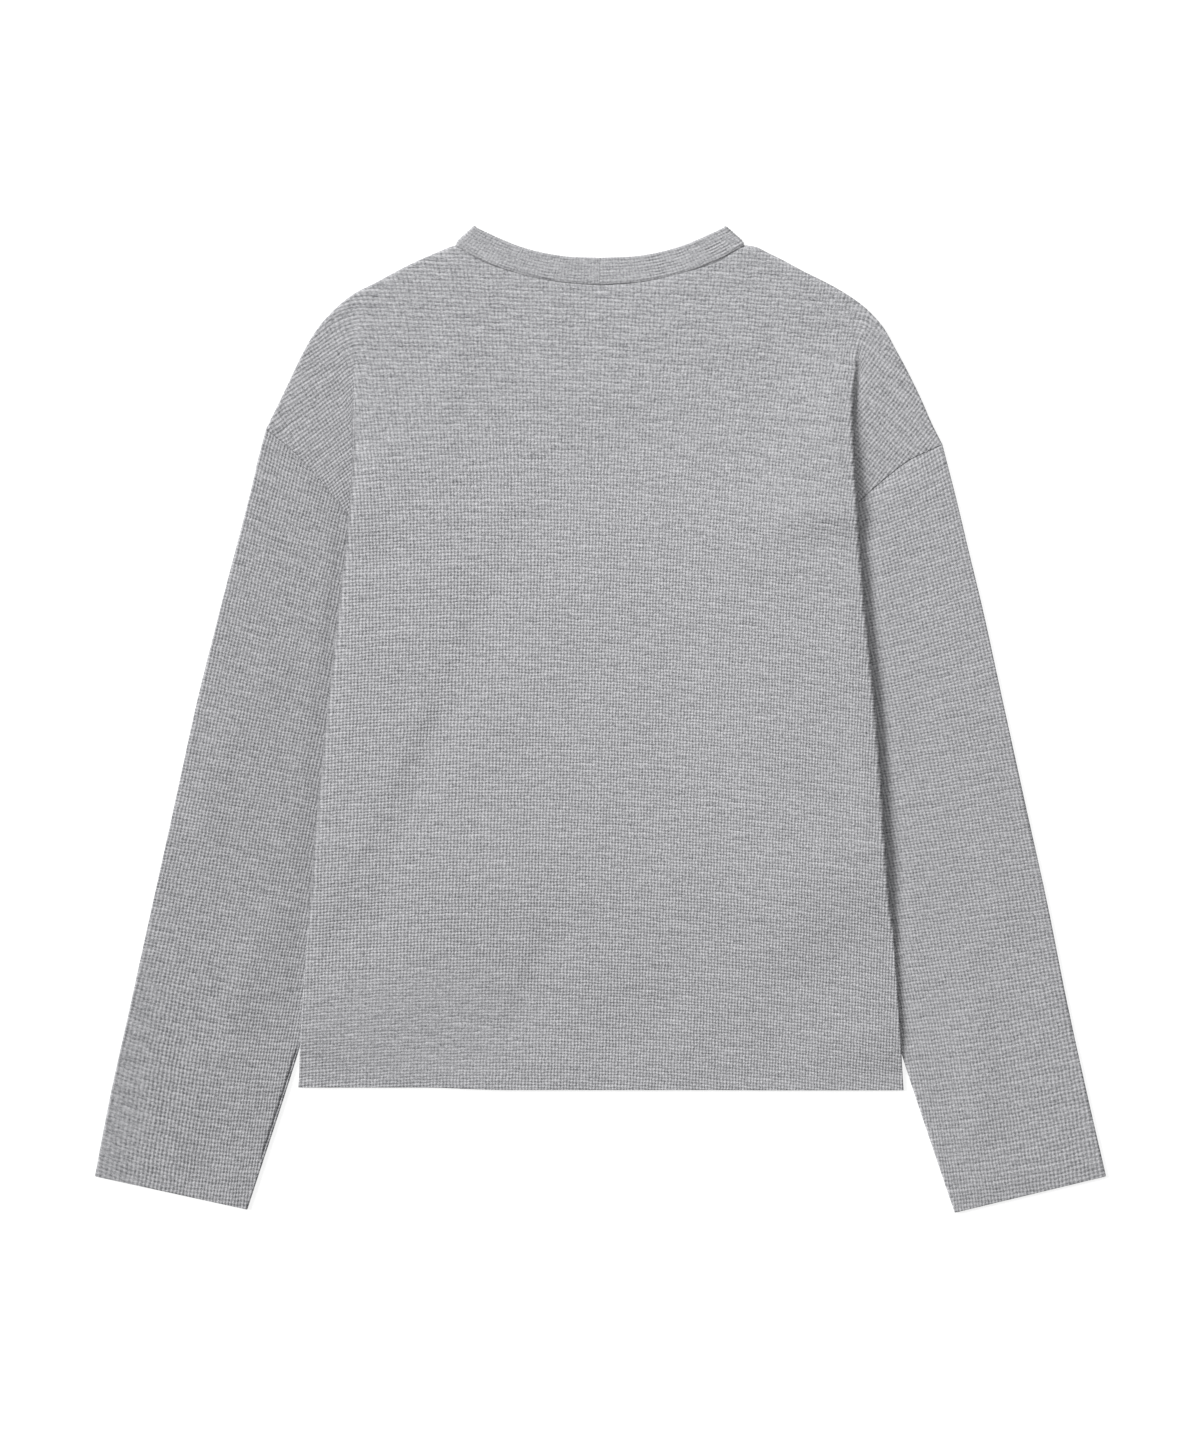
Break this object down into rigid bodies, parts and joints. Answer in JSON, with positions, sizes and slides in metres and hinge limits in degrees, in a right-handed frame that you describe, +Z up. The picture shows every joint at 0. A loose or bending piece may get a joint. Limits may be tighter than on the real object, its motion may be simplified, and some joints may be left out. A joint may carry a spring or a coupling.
{
  "type": "thermal top",
  "caption": "Long-sleeved crew-neck thermal top in a light grey waffle knit, laid flat with its back up and its sleeves tucked under the body.",
  "frame": {"origin": "centre of the garment's outline, at the height of the surface it lies on", "axes": "+Z up out of the surface, +Y from the hem towards the neck, +X to the right as seen from above"},
  "size_m": [0.7276, 0.7098, 0.0123],
  "materials": {
    "panel_knit": "matt heather grey mini-waffle knit",
    "sleeve_knit": "matt heather grey mini-waffle knit, courses across the sleeve",
    "neckband_knit": "matt heather grey waffle knit, folded double, ribs along the neckline"
  },
  "bodies": {
    "root": {"back_panel": "panel_knit", "front_panel": "panel_knit", "sleeve_left": "sleeve_knit", "sleeve_right": "sleeve_knit", "neckband": "neckband_knit"}
  },
  "joints": []
}
